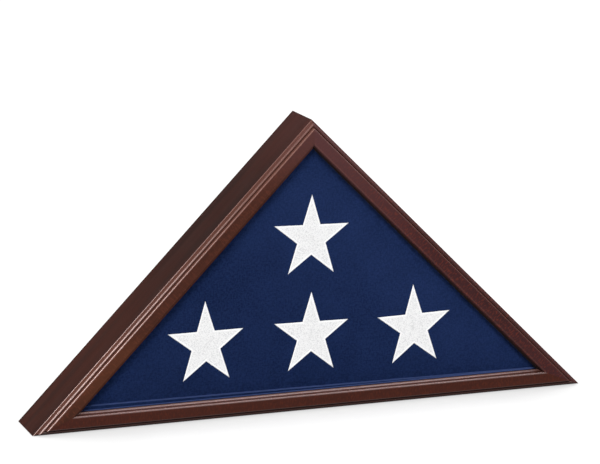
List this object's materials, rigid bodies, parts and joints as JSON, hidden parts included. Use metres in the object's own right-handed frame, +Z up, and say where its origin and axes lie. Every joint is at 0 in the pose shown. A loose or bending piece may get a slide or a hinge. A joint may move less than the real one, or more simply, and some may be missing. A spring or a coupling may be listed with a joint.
{
  "type": "folded flag display case",
  "caption": "Triangular moulded hardwood case with a glass front that shows a folded blue flag with white stars; hinged back door, sawtooth hanger.",
  "frame": {"origin": "middle of the footprint, on the surface that the base stands on", "axes": "+X along the base to the right as seen from the front, +Y from the glazed front to the back, +Z up"},
  "size_m": [0.648, 0.0796, 0.329],
  "materials": {
    "stained_wood": "dark red-brown stain under satin lacquer",
    "stop_wood": "stained, satin",
    "door_board": "dark stained thin plywood, matt",
    "plain_wood": "plain sanded softwood",
    "pane": "clear float glass",
    "flag_cloth": "navy blue cotton bunting, matt",
    "star_thread": "white embroidered thread",
    "hinge_brass": "satin",
    "screw_brass": "satin",
    "steel": "zinc plated",
    "magnet_nickel": "bright nickel plate",
    "bumper_rubber": "matt black"
  },
  "bodies": {
    "case": {"left_rail": "stained_wood", "right_rail": "stained_wood", "base_rail": "stained_wood", "corner_v_nails": "steel", "glass_pane": "pane", "left_glass_stop": "stop_wood", "right_glass_stop": "stop_wood", "base_glass_stop": "stop_wood", "stop_brads": "steel", "folded_flag": "flag_cloth", "star_top": "star_thread", "star_left": "star_thread", "star_centre": "star_thread", "star_right": "star_thread", "apex_gusset": "door_board", "gusset_brads": "steel", "left_catch_block": "plain_wood", "right_catch_block": "plain_wood", "catch_magnets": "magnet_nickel", "left_hinge_frame_leaf": "hinge_brass", "right_hinge_frame_leaf": "hinge_brass", "left_hinge_pin": "hinge_brass", "right_hinge_pin": "hinge_brass", "frame_hinge_screws": "screw_brass", "sawtooth_hanger": "steel", "hanger_nails": "screw_brass", "wall_bumpers": "bumper_rubber"},
    "door": {"back_door": "door_board", "strike_discs": "steel", "left_hinge_door_leaf": "hinge_brass", "right_hinge_door_leaf": "hinge_brass", "door_hinge_screws": "screw_brass"}
  },
  "joints": [
    {"name": "door_swing", "type": "hinge", "parent": "case", "child": "door", "pos_m": [0, 0.0375, 0.01025], "axis": [-1, 0, 0], "range_deg": [0, 90]}
  ]
}
